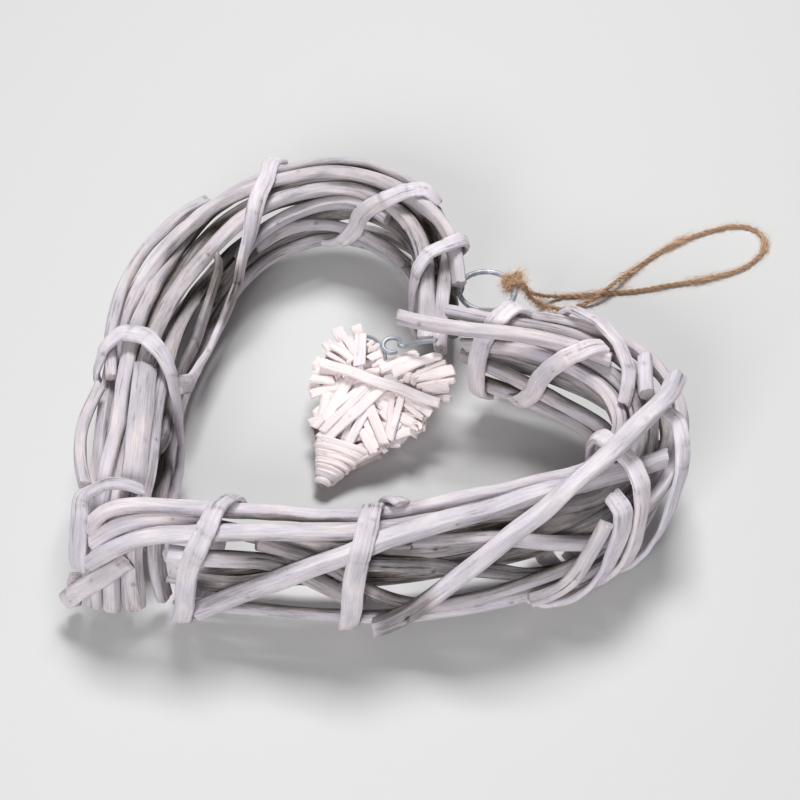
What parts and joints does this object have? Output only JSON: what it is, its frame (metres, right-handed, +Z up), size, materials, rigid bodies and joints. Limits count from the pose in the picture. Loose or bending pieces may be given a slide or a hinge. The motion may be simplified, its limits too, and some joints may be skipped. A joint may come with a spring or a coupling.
{
  "type": "ornament",
  "caption": "Heart-shaped wicker wreath of whitewashed willow rods, bound with split strips, with a small wicker heart on a wire link and a jute loop on a wire ring.",
  "frame": {"origin": "middle of the wreath's bounding box without its twine, at the height of the surface it lies on", "axes": "+X towards the lobe on the right of the heart seen from above, +Y from the tip to the cleft, +Z up out of the face that the small heart lies in"},
  "size_m": [0.2463, 0.3672, 0.0696],
  "materials": {
    "whitewashed_willow": "dry whitewash over willow, streaky and matte",
    "small_heart_willow": "pale whitewash over split willow, matte",
    "grey_wire": "pale blue-grey paint over steel wire",
    "jute_twine": "natural two-ply jute, hairy"
  },
  "bodies": {
    "root": {"cleft_crossing_rod": "whitewashed_willow", "hanging_ring": "grey_wire", "left_cleft_binding": "whitewashed_willow", "left_core_rod": "whitewashed_willow", "left_first_rod": "whitewashed_willow", "left_inner_bottom_rod": "whitewashed_willow", "left_inner_edge_rod": "whitewashed_willow", "left_inner_strip": "whitewashed_willow", "left_inner_stub": "whitewashed_willow", "left_leg_binding": "whitewashed_willow", "left_lobe_falling_rod": "whitewashed_willow", "left_lobe_inner_binding": "whitewashed_willow", "left_lobe_inner_rod": "whitewashed_willow", "left_lobe_long_binding": "whitewashed_willow", "left_lobe_low_rod": "whitewashed_willow", "left_outer_bottom_rod": "whitewashed_willow", "left_outer_bow": "whitewashed_willow", "left_outer_middle_rod": "whitewashed_willow", "left_outer_stub": "whitewashed_willow", "left_outer_top_rod": "whitewashed_willow", "left_rising_core_rod": "whitewashed_willow", "left_second_rod": "whitewashed_willow", "left_side_bow": "whitewashed_willow", "left_tip_rod": "whitewashed_willow", "left_top_strip": "whitewashed_willow", "right_bottom_rod": "whitewashed_willow", "right_cleft_binding": "whitewashed_willow", "right_core_rod": "whitewashed_willow", "right_crossing_rod": "whitewashed_willow", "right_face_rod": "whitewashed_willow", "right_falling_rod": "whitewashed_willow", "right_falling_strip": "whitewashed_willow", "right_far_falling_rod": "whitewashed_willow", "right_inner_bottom_rod": "whitewashed_willow", "right_inner_middle_rod": "whitewashed_willow", "right_inner_slant": "whitewashed_willow", "right_inner_top_rail": "whitewashed_willow", "right_leg_binding_high": "whitewashed_willow", "right_leg_binding_low": "whitewashed_willow", "right_lobe_binding_a": "whitewashed_willow", "right_lobe_binding_b": "whitewashed_willow", "right_lobe_binding_c": "whitewashed_willow", "right_lobe_inner_binding": "whitewashed_willow", "right_lobe_rod": "whitewashed_willow", "right_lobe_slant": "whitewashed_willow", "right_lobe_top_binding": "whitewashed_willow", "right_lobe_top_rod": "whitewashed_willow", "right_lobe_top_strip": "whitewashed_willow", "right_rising_rod": "whitewashed_willow", "right_second_rail": "whitewashed_willow", "right_stub_rod": "whitewashed_willow", "right_third_rail": "whitewashed_willow", "small_heart": "small_heart_willow", "small_heart_link": "grey_wire", "tip_band": "whitewashed_willow", "tip_binding": "whitewashed_willow", "twine_knot": "jute_twine", "twine_loop": "jute_twine"}
  },
  "joints": []
}
